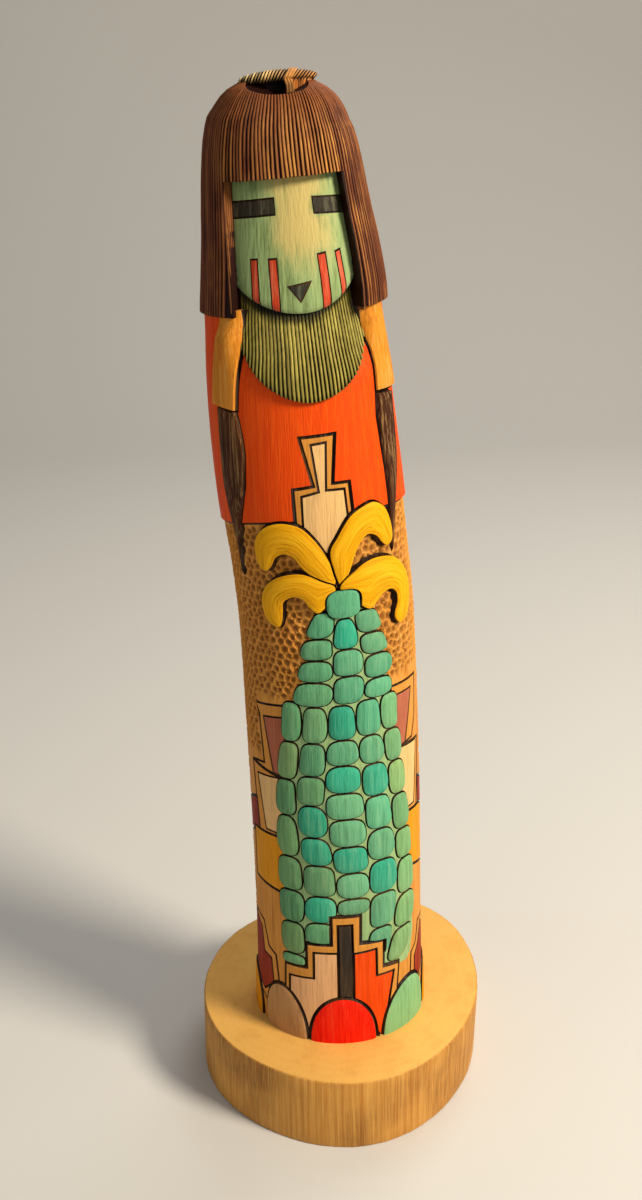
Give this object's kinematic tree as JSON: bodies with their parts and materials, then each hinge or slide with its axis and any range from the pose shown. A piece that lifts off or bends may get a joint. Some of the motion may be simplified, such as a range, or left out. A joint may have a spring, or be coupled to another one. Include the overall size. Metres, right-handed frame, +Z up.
{
  "type": "carved doll",
  "caption": "Carved and painted wooden doll on a round wood slice: bobbed hair, masked face, beard, cape and an ear of corn on a bent root.",
  "frame": {"origin": "middle of the underside of the wood slice", "axes": "+Z up along the figure, front towards -Y, the viewer's right is +X"},
  "size_m": [0.1024, 0.1032, 0.339],
  "materials": {
    "painted_root": "carved root, stained and painted, matt with a slight sheen",
    "bare_slice": "smooth sanded bare wood"
  },
  "bodies": {
    "root": {"figure": "painted_root", "base": "bare_slice"}
  },
  "joints": []
}
